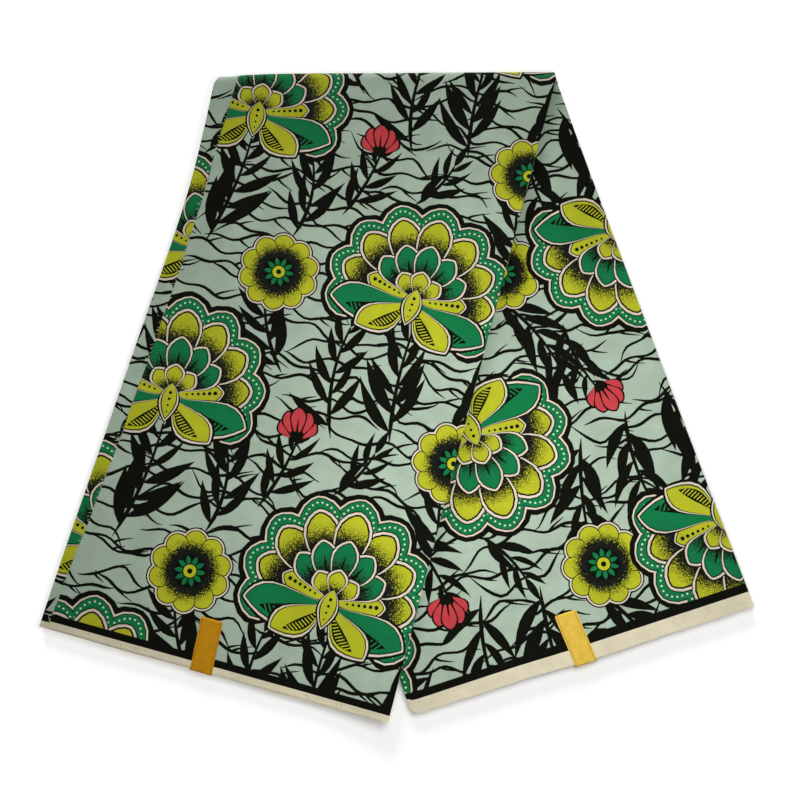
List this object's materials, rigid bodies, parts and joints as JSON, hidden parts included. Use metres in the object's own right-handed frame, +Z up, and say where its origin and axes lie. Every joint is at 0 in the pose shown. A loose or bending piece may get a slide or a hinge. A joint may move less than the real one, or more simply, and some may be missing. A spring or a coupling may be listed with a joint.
{
  "type": "folded length of wax print fabric",
  "caption": "Length of printed cotton cloth folded into a flat pack and folded over at a slant, so that two legs spread from the fold, sealed at the selvedge ends.",
  "frame": {"origin": "centre of the bounding box at the floor", "axes": "+Z up from the floor, +Y from the selvedge ends towards the fold, +X from the left leg towards the right leg"},
  "size_m": [0.6482, 0.625, 0.0179],
  "materials": {
    "printed_cotton": "wax printed plain weave, matt with a faint sheen",
    "next_cotton": "wax printed plain weave, matt with a faint sheen",
    "layered_cotton": "folded edges of the printed cloth, matt",
    "inner_cotton": "wax printed plain weave, matt with a faint sheen",
    "gold_seal": "gold foil paper, satin"
  },
  "bodies": {
    "root": {"outer_panel": "printed_cotton", "next_panel": "next_cotton", "hidden_layers": "layered_cotton", "inner_panel": "inner_cotton", "seal_left": "gold_seal", "seal_right": "gold_seal"}
  },
  "joints": []
}
